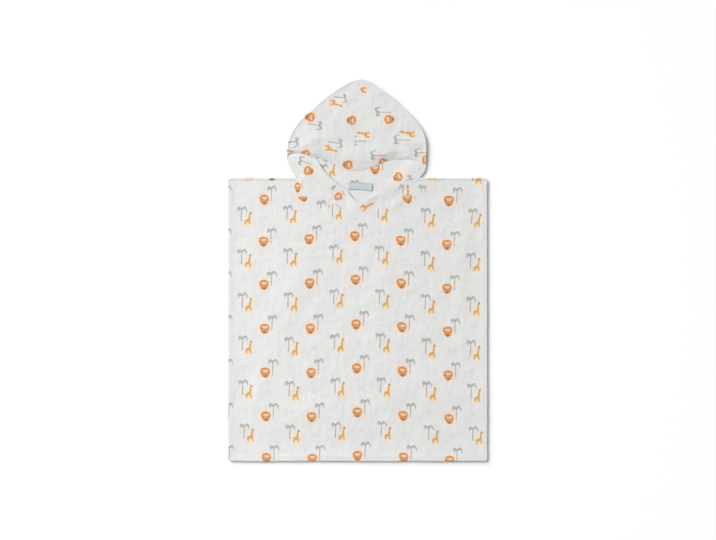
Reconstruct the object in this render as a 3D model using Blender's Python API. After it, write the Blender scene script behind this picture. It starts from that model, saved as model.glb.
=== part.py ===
"""Hooded bath poncho for a toddler, made of printed muslin and laid flat, face up.

A maker cuts and sews five pieces, and each is one object here:
  back        straight panel with a shallow back neck, which lies on the table
  front       straight panel with the deep front neck and its slit, on top of the back
  hood_left   half of the hood: one piece of cloth that lies on the table as the hood's back,
              folds over at the outline and comes back as the crown and, lower down, the wing
  hood_right  the other half, sewn to the first along the centre seam
  neck_label  small woven label in the back neck seam, blank

Metres, +Z up, +Y towards the hood's peak. The origin is on the table under the middle of the
whole outline. Tables are in millimetres, x from the centre line and up from the shoulder line.
"""

import math
from collections import namedtuple

import bmesh
import bpy
from mathutils import Vector

MM = 0.001

# Driving sizes of the garment
BODY_WIDTH = 0.623
BODY_LENGTH = 0.680
HOOD_RISE = 0.238
CORNER_RADIUS = 0.010
BACK_NECK_DIP = 0.0135

# The cloth, its turned hems and the clearance between two layers or at a seam
CLOTH = 0.0015
GAP = 0.0003
HEM_WIDTH = 0.012
HEM_STEP = 0.002
HEM_TURN = 0.0008

# The hood: a soft rise in the middle of the crown, and the lift of the neck seam
CROWN_PUFF = 0.0007
CROWN_FOLD = 6.1
NECK_LIFT = 0.0016
NECK_LIFT_REACH = 0.018

# The label, whose right end is a little lower
LABEL_WIDTH = 0.057
LABEL_HEIGHT = 0.017
LABEL_CLOTH = 0.001
LABEL_CENTRE = (0.007, -0.021)
LABEL_TILT = math.radians(-3)

HEM_Y = -(BODY_LENGTH + HOOD_RISE) / 2
SHOULDER_Y = HEM_Y + BODY_LENGTH
HALF_WIDTH = BODY_WIDTH / 2

# The front neck from its left end to its right end, with the slit in the middle
NeckPoint = namedtuple("NeckPoint", "x up")
FRONT_NECK = [
    NeckPoint(-145, -0.4),
    NeckPoint(-125, 0.0),
    NeckPoint(-108, -0.6),
    NeckPoint(-88, -5),
    NeckPoint(-70, -11.5),
    NeckPoint(-42, -23.7),
    NeckPoint(-25, -31),
    NeckPoint(-17, -43),
    NeckPoint(-5, -55.5),
    NeckPoint(9, -59.5),
    NeckPoint(25, -52),
    NeckPoint(43, -39),
    NeckPoint(60, -30.2),
    NeckPoint(86, -15.5),
    NeckPoint(107, -8.5),
    NeckPoint(128, -5.5),
    NeckPoint(147.5, -2.4),
]

# A hood half, section by section. Each section starts at the face hem, runs to the outline,
# folds over there and comes back on the table to the back neck seam, where only x is needed.
# fold is the height of the folded edge.
Section = namedtuple("Section", "edge_x edge_up hem_x hem_up neck_x fold")

# From the centre seam round to the side, where crown and wing part
LEFT_CROWN = [
    Section(8.4, 238, -13.2, 17.3, 5, CROWN_FOLD),
    Section(-10.8, 234, -25, 18.8, 1, CROWN_FOLD),
    Section(-30, 224.5, -37, 21.8, -4, CROWN_FOLD),
    Section(-61, 205.5, -52, 30, -12, CROWN_FOLD),
    Section(-85, 186.7, -66, 38.8, -19, CROWN_FOLD),
    Section(-107, 167.5, -81, 44.2, -26, CROWN_FOLD),
    Section(-128.3, 148.3, -97, 48, -32, CROWN_FOLD),
    Section(-146.5, 129, -114, 52.3, -38, CROWN_FOLD),
    Section(-159.2, 110, -129, 57, -43, CROWN_FOLD),
    Section(-166.4, 90.7, -142.5, 59.5, -48, CROWN_FOLD),
    Section(-170.4, 71.5, -155.5, 58.9, -52, CROWN_FOLD),
    Section(-171.6, 56, -166.5, 55.5, -56, CROWN_FOLD),
]
RIGHT_CROWN = [
    Section(8.4, 238, -13.2, 17.3, 5, CROWN_FOLD),
    Section(25, 233, 0, 17.8, 9, CROWN_FOLD),
    Section(40, 225, 14, 19.7, 14, CROWN_FOLD),
    Section(65, 207.5, 34, 25.4, 22, CROWN_FOLD),
    Section(88.5, 188.5, 52, 31.6, 29, CROWN_FOLD),
    Section(112, 167, 67, 39.3, 36, CROWN_FOLD),
    Section(132.5, 147, 83, 43.7, 42, CROWN_FOLD),
    Section(147.5, 129, 100, 45.4, 48, CROWN_FOLD),
    Section(159, 110, 116, 45, 53, CROWN_FOLD),
    Section(165.7, 90.7, 129, 42.5, 58, CROWN_FOLD),
    Section(167, 71.5, 141, 38.2, 62, CROWN_FOLD),
    Section(166.2, 51, 151, 33.2, 66, CROWN_FOLD),
    Section(165.8, 34.5, 161, 31.5, 70, CROWN_FOLD),
]

# From there down to the end of the neck seam. The wing drops at once, tucks its hem under the
# crown's and comes out again towards the slit.
LEFT_WING = [
    Section(-171.6, 56, -166.5, 55.5, -56, CROWN_FOLD),
    Section(-171.2, 49, -163.5, 50.5, -58, 4.7),
    Section(-169.6, 41, -157, 53, -60, 3.5),
    Section(-166.3, 31, -143, 63, -63, 3.5),
    Section(-162, 21.5, -120, 62, -66, 3.5),
    Section(-157, 13.5, -99, 45, -69, 3.5),
    Section(-151.5, 6.8, -79, 14, -72, 3.9),
    Section(-148.3, 3.6, -52, -13, -74, 4.4),
    Section(-145, 0.8, -25, -30.5, -76, 5.0),
]
RIGHT_WING = [
    Section(165.8, 34.5, 161, 31.5, 70, CROWN_FOLD),
    Section(165.7, 28.5, 158.2, 29.4, 71, 4.7),
    Section(164.8, 21.5, 151, 31.8, 72, 3.5),
    Section(161.4, 13.2, 140, 42, 73, 3.5),
    Section(157.8, 8.6, 121, 50, 74, 3.5),
    Section(155, 5.4, 104, 38, 75.5, 3.5),
    Section(152, 2.6, 83, 8, 77, 3.9),
    Section(149.7, 0.6, 62, -14.5, 78.5, 4.4),
    Section(147.5, -1.2, 43, -38.5, 80, 5.0),
]

# Soft ridges of the front panel: the middle, the half length and half width, the turn and the height
Ridge = namedtuple("Ridge", "x up half_length half_width turn_deg height")
FRONT_RIDGES = [
    Ridge(-96, -32, 46, 9, -28, 1.3),
    Ridge(-58, -52, 40, 10, -40, 1.0),
    Ridge(104, -46, 44, 11, 38, 1.4),
    Ridge(-150, -250, 120, 34, 78, 1.2),
    Ridge(60, -330, 150, 40, 96, 1.5),
    Ridge(255, -210, 110, 24, 88, 1.8),
    Ridge(-60, -560, 160, 36, 6, 1.6),
    Ridge(230, -520, 90, 30, -35, 2.2),
    Ridge(-240, -520, 80, 26, 70, 1.4),
]


def clear_scene():
    for obj in list(bpy.data.objects):
        bpy.data.objects.remove(obj)


def lerp(a, b, t):
    return a + (b - a) * t


def smoothstep(t):
    t = min(1.0, max(0.0, t))
    return t * t * (3 - 2 * t)


def hermite(rows, stations, at):
    """Every column of rows, read at a station along a smooth curve through them."""
    i = 0
    while i < len(rows) - 2 and at > stations[i + 1]:
        i += 1
    span = stations[i + 1] - stations[i]
    t = (at - stations[i]) / span

    def slope(k, column):
        low, high = max(0, k - 1), min(len(rows) - 1, k + 1)
        return (rows[high][column] - rows[low][column]) / (stations[high] - stations[low])

    values = []
    for column in range(len(rows[0])):
        a, b = rows[i][column], rows[i + 1][column]
        leave, arrive = slope(i, column) * span, slope(i + 1, column) * span
        values.append(
            a * (1 - t) ** 2 * (1 + 2 * t)
            + leave * t * (1 - t) ** 2
            + b * t * t * (3 - 2 * t)
            - arrive * t * t * (1 - t)
        )
    return values


NECK_LEFT, NECK_RIGHT = FRONT_NECK[0].x * MM, FRONT_NECK[-1].x * MM
NECK_STATIONS = [point.x for point in FRONT_NECK]


def front_neck_y(x):
    return SHOULDER_Y + hermite(FRONT_NECK, NECK_STATIONS, x / MM)[1] * MM


def back_neck_y(x):
    """A shallow arc between the ends of the front neck."""
    share = (x - NECK_LEFT) / (NECK_RIGHT - NECK_LEFT)
    ends = lerp(FRONT_NECK[0].up, FRONT_NECK[-1].up, share) * MM
    return SHOULDER_Y + ends - BACK_NECK_DIP * 4 * share * (1 - share)


def cloth_wall(name, outer, inner, colour):
    """One closed wall between two equal grids of points, rows of points along the cloth."""
    bm = bmesh.new()
    faces = []
    for grid in (outer, inner):
        faces.append([[bm.verts.new(point) for point in row] for row in grid])
    front, behind = faces
    rows, columns = len(front), len(front[0])
    for i in range(rows - 1):
        for j in range(columns - 1):
            for g in (front, behind):
                bm.faces.new((g[i][j], g[i + 1][j], g[i + 1][j + 1], g[i][j + 1]))
    for i in range(rows - 1):
        for j in (0, columns - 1):
            bm.faces.new((front[i][j], front[i + 1][j], behind[i + 1][j], behind[i][j]))
    for j in range(columns - 1):
        for i in (0, rows - 1):
            bm.faces.new((front[i][j], front[i][j + 1], behind[i][j + 1], behind[i][j]))
    bmesh.ops.recalc_face_normals(bm, faces=bm.faces)
    mesh = bpy.data.meshes.new(name)
    bm.to_mesh(mesh)
    bm.free()
    mesh.shade_smooth()
    mesh.set_sharp_from_angle(angle=math.radians(40))
    obj = bpy.data.objects.new(name, mesh)
    bpy.context.scene.collection.objects.link(obj)
    obj.data.materials.append(cloth_material(name + "_cloth", colour))
    return obj


def cloth_material(name, colour):
    material = bpy.data.materials.new(name)
    material.use_nodes = True
    shader = material.node_tree.nodes["Principled BSDF"]
    shader.inputs["Base Color"].default_value = (*colour, 1)
    shader.inputs["Roughness"].default_value = 0.9
    shader.inputs["Metallic"].default_value = 0.0
    return material


def corner_columns():
    """Distances in from a side edge: round the corner, then the hem's inner edge and its step."""
    turn = [CORNER_RADIUS * (1 - math.cos(math.radians(a))) for a in (0, 30, 60, 90)]
    return turn + [HEM_WIDTH, HEM_WIDTH + HEM_STEP]


def corner_cut(x):
    """How far the rounded corner lies in from the hem or the shoulder line at this x."""
    into = CORNER_RADIUS - (HALF_WIDTH - abs(x))
    if into <= 0:
        return 0.0
    return CORNER_RADIUS - math.sqrt(max(0.0, CORNER_RADIUS**2 - into**2))


def side_band(x):
    return smoothstep((HEM_WIDTH + HEM_STEP - (HALF_WIDTH - abs(x))) / HEM_STEP)


def hem_band(y):
    return smoothstep((HEM_WIDTH + HEM_STEP - (y - HEM_Y)) / HEM_STEP)


def panel_columns(neck_xs, plain_step):
    """x of every section of a panel, from its left edge to its right edge."""
    first = corner_columns()
    xs = [-HALF_WIDTH + d for d in first] + [HALF_WIDTH - d for d in reversed(first)]
    edge = HALF_WIDTH - first[-1]
    for start, end in ((-edge, neck_xs[0]), (neck_xs[-1], edge)):
        count = round(abs(end - start) / plain_step)
        xs += [lerp(start, end, k / count) for k in range(1, count)]
    return sorted(xs + neck_xs)


def spaced(points, step):
    """The points, with more between them where they are further apart than a step."""
    filled = [points[0]]
    for a, b in zip(points, points[1:]):
        count = max(1, math.ceil((b - a) / step))
        filled += [lerp(a, b, k / count) for k in range(1, count + 1)]
    return filled


def panel_rows(bottom, top, near_top, middle_rows):
    """y of every row of a section: the hem, its step, the plain cloth, then the rows near the top."""
    low = [bottom, HEM_Y + HEM_WIDTH, HEM_Y + HEM_WIDTH + HEM_STEP]
    high = [top - d for d in near_top]
    plain = [lerp(low[-1], high[0], k / middle_rows) for k in range(1, middle_rows)]
    return low + plain + high


def make_back():
    neck_xs = spaced([NECK_LEFT, NECK_RIGHT], 0.016)
    outer, inner = [], []
    for x in panel_columns(neck_xs, 0.055):
        cut = corner_cut(x)
        top = back_neck_y(x) if NECK_LEFT <= x <= NECK_RIGHT else SHOULDER_Y - cut
        ys = panel_rows(HEM_Y + cut, top, (0.03, 0), 3)
        turned = [HEM_TURN * max(side_band(x), hem_band(y)) for y in ys]
        outer.append([Vector((x, y, CLOTH + t)) for y, t in zip(ys, turned)])
        inner.append([Vector((x, y, 0)) for y in ys])
    return cloth_wall("back", outer, inner, (0.86, 0.86, 0.84))


def ridge_height(x, y):
    """The soft ridges of the front, added up."""
    total = 0.0
    for ridge in FRONT_RIDGES:
        turn = math.radians(ridge.turn_deg)
        dx, dy = x - ridge.x * MM, y - SHOULDER_Y - ridge.up * MM
        along = (dx * math.cos(turn) + dy * math.sin(turn)) / (ridge.half_length * MM)
        across = (dy * math.cos(turn) - dx * math.sin(turn)) / (ridge.half_width * MM)
        total += ridge.height * MM * math.exp(-along * along - across * across)
    return total


def front_lift(x, y, top):
    """How far the front's underside is raised over the plain back: folds and the neck seam."""
    inside = min(x - NECK_LEFT, NECK_RIGHT - x) / 0.04
    seam = NECK_LIFT * smoothstep(inside) * math.exp(-(((top - y) / NECK_LIFT_REACH) ** 2))
    from_edge = min(HALF_WIDTH - abs(x), y - HEM_Y, SHOULDER_Y - y + 0.03)
    return seam + ridge_height(x, y) * smoothstep(from_edge / 0.03)


def make_front():
    slit = [point.x * MM for point in FRONT_NECK]
    neck_xs = spaced(slit, 0.0105)
    outer, inner = [], []
    for x in panel_columns(neck_xs, 0.022):
        cut = corner_cut(x)
        top = front_neck_y(x) if NECK_LEFT <= x <= NECK_RIGHT else SHOULDER_Y - cut
        ys = panel_rows(HEM_Y + cut, top, (0.05, 0.034, 0.021, 0.01, 0), 12)
        under, over = [], []
        for y in ys:
            turned = HEM_TURN * max(side_band(x), hem_band(y))
            z = CLOTH + GAP + turned + front_lift(x, y, top)
            under.append(Vector((x, y, z)))
            over.append(Vector((x, y, z + CLOTH + turned)))
        outer.append(over)
        inner.append(under)
    return cloth_wall("front", outer, inner, (0.90, 0.90, 0.88))


def hood_sections(table, steps):
    """The sections of a table and those between them, evenly along the outline."""
    stations = [0.0]
    for a, b in zip(table, table[1:]):
        stations.append(stations[-1] + math.hypot(b.edge_x - a.edge_x, b.edge_up - a.edge_up))
    return [
        Section(*hermite(table, stations, stations[-1] * k / steps)) for k in range(steps + 1)
    ]


def outward(sections, i):
    """The direction square to the outline at a section, away from the hood."""
    if i == 0:
        return Vector((0, 1, 0))
    a, b = sections[i - 1], sections[min(i + 1, len(sections) - 1)]
    along = Vector((b.edge_x - a.edge_x, b.edge_up - a.edge_up, 0)).normalized()
    normal = Vector((along.y, -along.x, 0))
    centre = Vector((-sections[i].edge_x, 80 - sections[i].edge_up, 0))
    return -normal if normal.dot(centre) > 0 else normal


def neck_bow(neck_y, start_x, end_x, t):
    """How far a neck curve lies off its own chord, at a share of the way between two x."""
    return neck_y(lerp(start_x, end_x, t)) - lerp(neck_y(start_x), neck_y(end_x), t)


def top_stations(length):
    """Shares of the way from the face hem to the folded edge: the hem, its step, plain cloth."""
    hem = min(HEM_WIDTH, 0.4 * length)
    step = min(HEM_STEP, 0.2 * length)
    start = (hem + step) / length
    plain = [lerp(start, 1, k / 7) for k in range(1, 8)]
    return [(0.0, 1.0), (hem / length, 1.0), (start, 0.0)] + [(t, 0.0) for t in plain]


def hood_half(name, crown_table, wing_table, side):
    """Folded cloth, from the face hem over the outline to the back neck seam, in one wall."""
    crown = hood_sections(crown_table, 20)
    wing = hood_sections(wing_table, 18)[1:]
    sections = crown + wing
    outer, inner = [], []
    for i, section in enumerate(sections):
        # The wing's last section lies along the neck seam, and those before it bend towards it.
        towards_neck = max(0.0, (i - len(crown) + 1) / len(wing)) ** 3
        seam_shift = side * GAP / 2 if i == 0 else 0.0
        radius = section.fold * MM / 2
        out = outward(sections, i)
        edge = Vector((section.edge_x * MM + seam_shift, SHOULDER_Y + section.edge_up * MM, 0))
        fold = edge - out * radius
        hem = Vector((section.hem_x * MM + seam_shift, SHOULDER_Y + section.hem_up * MM, 0))
        neck_x = section.neck_x * MM + seam_shift
        neck = Vector((neck_x, back_neck_y(neck_x) + GAP, 0))
        if i == len(sections) - 1:
            hem.y = front_neck_y(hem.x) + GAP

        over, under = [], []
        for t, turned in top_stations((fold - hem).length):
            point = hem.lerp(fold, t)
            point.y += towards_neck * neck_bow(front_neck_y, hem.x, fold.x, t)
            is_crown = i < len(crown)
            puff = CROWN_PUFF * math.sin(math.pi * t) if is_crown else 0.0
            height = section.fold * MM + puff
            over.append(point + Vector((0, 0, height + turned * HEM_TURN)))
            under.append(point + Vector((0, 0, height - CLOTH)))
        for k in range(1, 6):
            angle = math.pi * (0.5 - k / 6)
            bulge = out * math.cos(angle) + Vector((0, 0, math.sin(angle)))
            centre = fold + Vector((0, 0, radius))
            over.append(centre + bulge * radius)
            under.append(centre + bulge * (radius - CLOTH))
        for k in range(7):
            point = fold.lerp(neck, k / 6)
            point.y += towards_neck * neck_bow(back_neck_y, fold.x, neck.x, k / 6)
            over.append(point.copy())
            under.append(point + Vector((0, 0, CLOTH)))
        outer.append(over)
        inner.append(under)
    return cloth_wall(name, outer, inner, (0.89, 0.89, 0.87))


def make_label():
    """It lies on the hood's back and on the back panel, just clear of them."""
    turn_x = Vector((math.cos(LABEL_TILT), math.sin(LABEL_TILT), 0))
    turn_y = Vector((-turn_x.y, turn_x.x, 0))
    centre = Vector((LABEL_CENTRE[0], SHOULDER_Y + LABEL_CENTRE[1], CLOTH + GAP))
    outer, inner = [], []
    for i in range(7):
        across = turn_x * (LABEL_WIDTH * (i / 6 - 0.5))
        rows = [centre + across + turn_y * (LABEL_HEIGHT * (j / 2 - 0.5)) for j in range(3)]
        inner.append(rows)
        outer.append([point + Vector((0, 0, LABEL_CLOTH)) for point in rows])
    return cloth_wall("neck_label", outer, inner, (0.55, 0.68, 0.72))


clear_scene()
make_back()
make_front()
hood_half("hood_left", LEFT_CROWN, LEFT_WING, -1)
hood_half("hood_right", RIGHT_CROWN, RIGHT_WING, 1)
make_label()
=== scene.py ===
import math
from collections import namedtuple

import bmesh
import bpy
from mathutils import Matrix, Vector, noise


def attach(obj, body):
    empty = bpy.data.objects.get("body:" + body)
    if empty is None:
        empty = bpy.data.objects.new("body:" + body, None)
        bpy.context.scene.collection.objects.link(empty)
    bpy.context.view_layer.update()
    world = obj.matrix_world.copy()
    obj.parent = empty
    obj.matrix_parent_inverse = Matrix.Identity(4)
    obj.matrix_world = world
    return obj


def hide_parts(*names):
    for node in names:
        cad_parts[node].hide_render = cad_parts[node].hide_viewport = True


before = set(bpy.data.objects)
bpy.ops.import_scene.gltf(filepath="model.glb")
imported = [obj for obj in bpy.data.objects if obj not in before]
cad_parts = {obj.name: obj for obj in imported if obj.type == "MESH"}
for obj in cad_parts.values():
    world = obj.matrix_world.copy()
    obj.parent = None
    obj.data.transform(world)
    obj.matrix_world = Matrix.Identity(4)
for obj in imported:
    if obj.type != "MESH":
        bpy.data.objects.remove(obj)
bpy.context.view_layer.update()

# ---- Back panel ------------------------------------------------------------------------------
# A straight panel of soft white muslin, printed with a nursery repeat of lion faces, giraffes
# and palms. Its two sides and its bottom are turned under 12 mm and stitched, and its neck is
# shallow. It lies face down, and the print shows on its inside too.

# Sizes are in metres. The body reaches from its hem up to the shoulder line.
MM = 0.001
HEM_Y = -0.459
SHOULDER_Y = 0.221
HALF_WIDTH = 0.3113
CORNER_RADIUS = 0.009
HEM_WIDTH = 12 * MM
MUSLIN = 1.2 * MM
TURNED_HEM = 2.0 * MM

# The front neck's edge, in millimetres from the shoulder line. The back neck joins its ends in a
# shallow curve, whose depth is in millimetres too.
BACK_NECK_DEPTH = 13.5
Neck = namedtuple("Neck", "x up")
FRONT_NECK = [
    Neck(-145, -0.4),
    Neck(-125, 0.0),
    Neck(-108, -0.6),
    Neck(-88, -5),
    Neck(-70, -11.5),
    Neck(-42, -23.7),
    Neck(-25, -31),
    Neck(-17, -43),
    Neck(-5, -55.5),
    Neck(9, -59.5),
    Neck(25, -52),
    Neck(41, -42),
    Neck(60, -34),
    Neck(86, -19.5),
    Neck(107, -10.5),
    Neck(128, -6),
    Neck(147.5, -2.4),
]
NECK_LEFT, NECK_RIGHT = FRONT_NECK[0].x * MM, FRONT_NECK[-1].x * MM


def lerp(a, b, t):
    return a + (b - a) * t


def smooth(t):
    t = min(1.0, max(0.0, t))
    return t * t * (3 - 2 * t)


def bell(distance, reach):
    return math.exp(-((distance / reach) ** 2))


def curve(rows, stations, at):
    """Every column of a table's rows, read along a smooth curve through them."""
    i = 0
    while i < len(rows) - 2 and at > stations[i + 1]:
        i += 1
    span = stations[i + 1] - stations[i]
    t = (at - stations[i]) / span

    def slope(k, column):
        low, high = max(0, k - 1), min(len(rows) - 1, k + 1)
        return (rows[high][column] - rows[low][column]) / (stations[high] - stations[low])

    values = []
    for column in range(len(rows[0])):
        a, b = rows[i][column], rows[i + 1][column]
        leave, arrive = slope(i, column) * span, slope(i + 1, column) * span
        values.append(
            a * (1 - t) ** 2 * (1 + 2 * t)
            + leave * t * (1 - t) ** 2
            + b * t * t * (3 - 2 * t)
            - arrive * t * t * (1 - t)
        )
    return values


def back_neck(x):
    share = (x - NECK_LEFT) / (NECK_RIGHT - NECK_LEFT)
    ends = lerp(FRONT_NECK[0].up, FRONT_NECK[-1].up, share)
    return SHOULDER_Y + (ends - 4 * BACK_NECK_DEPTH * share * (1 - share)) * MM


# Distances in from an edge, over its rounded rim, the turned hem, its stitching and its step
HEM_STOPS = [d * MM for d in (0, 0.4, 1.0, 2.2, 4.5, 7, 8.8, 9.6, 10.0, 10.4, 11.3, 12.2, 13.4, 16)]


def rim(distance, thick, least=0.14):
    """The rounded edge of cloth: its share of the full thickness, at a distance from the edge."""
    share = min(distance / (0.9 * thick), 1.0)
    return max(least, math.sqrt(max(0.0, 1 - (1 - share) ** 2)))


def ruffle(x, y, reach_x, reach_y, seed):
    """Soft unevenness, about -1 to 1, with its own reach across and up."""
    return 1.6 * noise.noise(Vector((x / reach_x, y / reach_y, seed)))


def crinkle(x, y):
    """How washed muslin lies: many short soft wrinkles that mostly run up the cloth."""
    astray = 5 * MM * ruffle(x, y, 0.05, 0.07, 2.2)
    short = ruffle(x + astray, y, 0.0085, 0.020, 7.7)
    level = ruffle(x, y + astray, 0.026, 0.010, 5.4)
    broad = ruffle(x, y, 0.048, 0.040, 4.1)
    return (0.19 * short + 0.15 * level + 0.30 * broad) * MM


def hem_extra(distance, width=HEM_WIDTH):
    """How much thicker cloth is where it is turned under."""
    return (TURNED_HEM - MUSLIN) * (1 - smooth((distance - width) / (1.8 * MM)))


def hem_relief(distance, along, width=HEM_WIDTH):
    """How the upper side of a hem rises over its fold and dips, unevenly, along its stitches."""
    band = 0.16 * MM * (1 - smooth((distance - width) / (3.5 * MM)))
    pucker = 0.10 * MM * ruffle(along, distance, 0.006, 0.010, 6.6)
    within = smooth(distance / (2 * MM)) * (1 - smooth((distance - width) / (3 * MM)))
    pull = (0.03 + 0.15 * smooth(ruffle(along, width, 0.03, 1, 3.5))) * MM
    return band + pucker * within - pull * bell(distance - width + 2 * MM, 1.0 * MM)


def evenly(start, end, step):
    count = max(1, round(abs(end - start) / step))
    return [lerp(start, end, k / count) for k in range(count + 1)]


def side_stops(step):
    """x of a panel's columns, closer together over the hems."""
    inner = HALF_WIDTH - HEM_STOPS[-1]
    left = [-HALF_WIDTH + d for d in HEM_STOPS[:-1]]
    return left + evenly(-inner, inner, step) + [-x for x in reversed(left)]


def corner_cut(x):
    into = CORNER_RADIUS - (HALF_WIDTH - abs(x))
    if into <= 0:
        return 0.0
    return CORNER_RADIUS - math.sqrt(max(0.0, CORNER_RADIUS**2 - into**2))


def astray(x, y, seed, inset=0.0):
    """A place of a laid panel, where its edges wander a little from straight."""
    out = smooth((abs(x) - HALF_WIDTH) / (40 * MM) + 1)
    side = 0.5 * MM * ruffle(seed, y, 1, 0.034, 1.0) - inset
    low = smooth(1 - (y - HEM_Y) / (40 * MM))
    foot = 0.6 * MM * ruffle(x, seed, 0.040, 1, 9.0) - inset
    return x + math.copysign(out * side, x), y - low * foot


def panel_grid(columns, plain, tail, top):
    """How many rows a panel has, and where they lie in plan: over the hem, along plain, and then
    at the distances in tail below its upper edge, top."""

    def stop(i, j):
        x = columns[i]
        if j < len(HEM_STOPS) - 1:
            return x, HEM_Y + HEM_STOPS[j] + corner_cut(x) * (1 - j / len(HEM_STOPS))
        j -= len(HEM_STOPS) - 1
        if j < len(plain):
            return x, lerp(plain[j], plain[j] + top(x) - SHOULDER_Y, smooth(j / len(plain)))
        return x, top(x) - tail[j - len(plain)]

    return len(HEM_STOPS) - 1 + len(plain) + len(tail), stop


def put(name, data):
    """A new object in the scene, for a mesh, a lamp or a camera."""
    made = bpy.data.objects.new(name, data)
    bpy.context.scene.collection.objects.link(made)
    return made


def from_bmesh(name, bm):
    mesh = bpy.data.meshes.new(name)
    bm.to_mesh(mesh)
    bm.free()
    return put(name, mesh)


def shell(name, columns, rows, over, under, printed):
    """A closed sheet of cloth: a grid, extruded once, its two faces moved to over and under."""
    bm = bmesh.new()
    bmesh.ops.create_grid(bm, x_segments=columns - 1, y_segments=rows - 1, size=0.5)
    grown = bmesh.ops.extrude_face_region(bm, geom=bm.faces[:], use_keep_orig=True)["geom"]
    lifted = {v for v in grown if isinstance(v, bmesh.types.BMVert)}
    place = {}
    for vert in bm.verts:
        i = round((vert.co.x + 0.5) * (columns - 1))
        j = round((vert.co.y + 0.5) * (rows - 1))
        place[vert] = (i, j)
        vert.co = over(i, j) if vert in lifted else under(i, j)
    print_map = bm.loops.layers.uv.new("print")
    for face in bm.faces:
        face.smooth = True
        upper = any(v in lifted for v in face.verts)
        cells = [place[v] for v in face.verts]
        marks = printed(face.calc_center_median(), upper, cells, [v.co for v in face.verts])
        for loop, mark in zip(face.loops, marks):
            loop[print_map].uv = (mark[0] * MM, mark[1] * MM)
    bmesh.ops.recalc_face_normals(bm, faces=bm.faces[:])
    for edge in bm.edges:
        edge.smooth = edge.calc_face_angle(0.0) < 1.0
    return from_bmesh(name, bm)


class Tone:
    """One value in a material. Arithmetic on it adds the Math nodes."""

    def __init__(self, bath, socket):
        self.bath, self.socket = bath, socket

    def __add__(self, other):
        return self.bath.maths("ADD", self, other)

    __radd__ = __add__

    def __sub__(self, other):
        return self.bath.maths("SUBTRACT", self, other)

    def __rsub__(self, other):
        return self.bath.maths("SUBTRACT", other, self)

    def __mul__(self, other):
        return self.bath.maths("MULTIPLY", self, other)

    __rmul__ = __mul__

    def __truediv__(self, other):
        return self.bath.maths("DIVIDE", self, other)


class Bath:
    """A material being made: its nodes, and the shader that they feed."""

    def __init__(self, name, **plain):
        self.material = bpy.data.materials.new(name)
        self.material.use_nodes = True
        self.tree = self.material.node_tree
        self.shader = self.tree.nodes["Principled BSDF"]
        for key, value in plain.items():
            self.shader.inputs[key.replace("_", " ")].default_value = value
        self.here = self.node("TexCoord", {}, {}, 3)

    def node(self, kind, settings, inputs, output=0):
        made = self.tree.nodes.new("ShaderNode" + kind)
        for key, value in settings.items():
            setattr(made, key, value)
        for key, value in inputs.items():
            self.feed(made.inputs[key], value)
        return Tone(self, made.outputs[output])

    def feed(self, socket, value):
        if isinstance(value, Tone):
            self.tree.links.new(value.socket, socket)
        else:
            socket.default_value = value

    def maths(self, operation, *values):
        return self.node("Math", {"operation": operation}, dict(enumerate(values)))

    def vector(self, operation, *values, output=0):
        return self.node("VectorMath", {"operation": operation}, dict(enumerate(values)), output)

    def layer(self, below, mask, colour):
        return self.node("Mix", {"data_type": "RGBA"}, {0: mask, 6: below, 7: colour}, 2)

    def clamp(self, value):
        return self.node("Clamp", {}, {"Value": value})

    def part(self, vector, axis):
        """One number of a vector: 0 is across and 1 is up."""
        return self.node("SeparateXYZ", {}, {0: vector}, axis)

    def mottle(self, scale, detail=2.0, place=None):
        inputs = {"Vector": place or self.here, "Scale": scale, "Detail": detail}
        return self.node("TexNoise", {}, inputs)

    def weave(self, across, up):
        """Threads that cross, in radians to a metre each way."""
        waves = [self.part(self.here, axis) * count for axis, count in enumerate((across, up))]
        return self.maths("SINE", waves[0]) * self.maths("SINE", waves[1])

    def finish(self, colour, roughness, **bump):
        """Feeds the shader, and gives the material."""
        self.feed(self.shader.inputs["Base Color"], colour)
        self.feed(self.shader.inputs["Roughness"], roughness)
        if bump:
            self.feed(self.shader.inputs["Normal"], self.node("Bump", {}, bump))
        return self.material


# How bright the lamps make a white surface that faces up
LIGHT = 1.22


def dye(red, green, blue):
    """A colour given as it looks under the lamps, 0 to 255, as the shader wants it."""
    shares = [c / 255 for c in (red, green, blue)]
    linear = [c / 12.92 if c <= 0.04045 else ((c + 0.055) / 1.055) ** 2.4 for c in shares]
    return (*[c / LIGHT for c in linear], 1)


class Drawing:
    """Shapes of the print round one place, in millimetres: how deep a point is inside each."""

    def __init__(self, bath, place):
        self.bath, self.place = bath, place

    def oval(self, x, y, half_width, half_height, turn=0):
        q = self.bath.vector("SUBTRACT", self.place, (x, y, 0))
        if turn:
            inputs = {"Vector": q, "Angle": -math.radians(turn)}
            q = self.bath.node("VectorRotate", {"rotation_type": "Z_AXIS"}, inputs)
        q = self.bath.vector("DIVIDE", q, (half_width, half_height, 1))
        return (1 - self.bath.vector("LENGTH", q, output=1)) * min(half_width, half_height)

    def stroke(self, x1, y1, x2, y2, start, end):
        """A brush stroke between two points, with its half-width at each end."""
        way = Vector((x2 - x1, y2 - y1, 0))
        q = self.bath.vector("SUBTRACT", self.place, (x1, y1, 0))
        share = self.bath.vector("DOT_PRODUCT", q, way / way.length_squared, output=1)
        share = self.bath.clamp(share)
        foot = self.bath.node("VectorMath", {"operation": "SCALE"}, {0: way, "Scale": share})
        off = self.bath.vector("LENGTH", self.bath.vector("SUBTRACT", q, foot), output=1)
        return start + share * (end - start) - off

    def union(self, *shapes):
        whole = shapes[0]
        for shape in shapes[1:]:
            whole = self.bath.maths("MAXIMUM", whole, shape)
        return whole

    def mask(self, shape, soft=0.6):
        return self.bath.clamp(shape / soft + 0.5)


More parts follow.
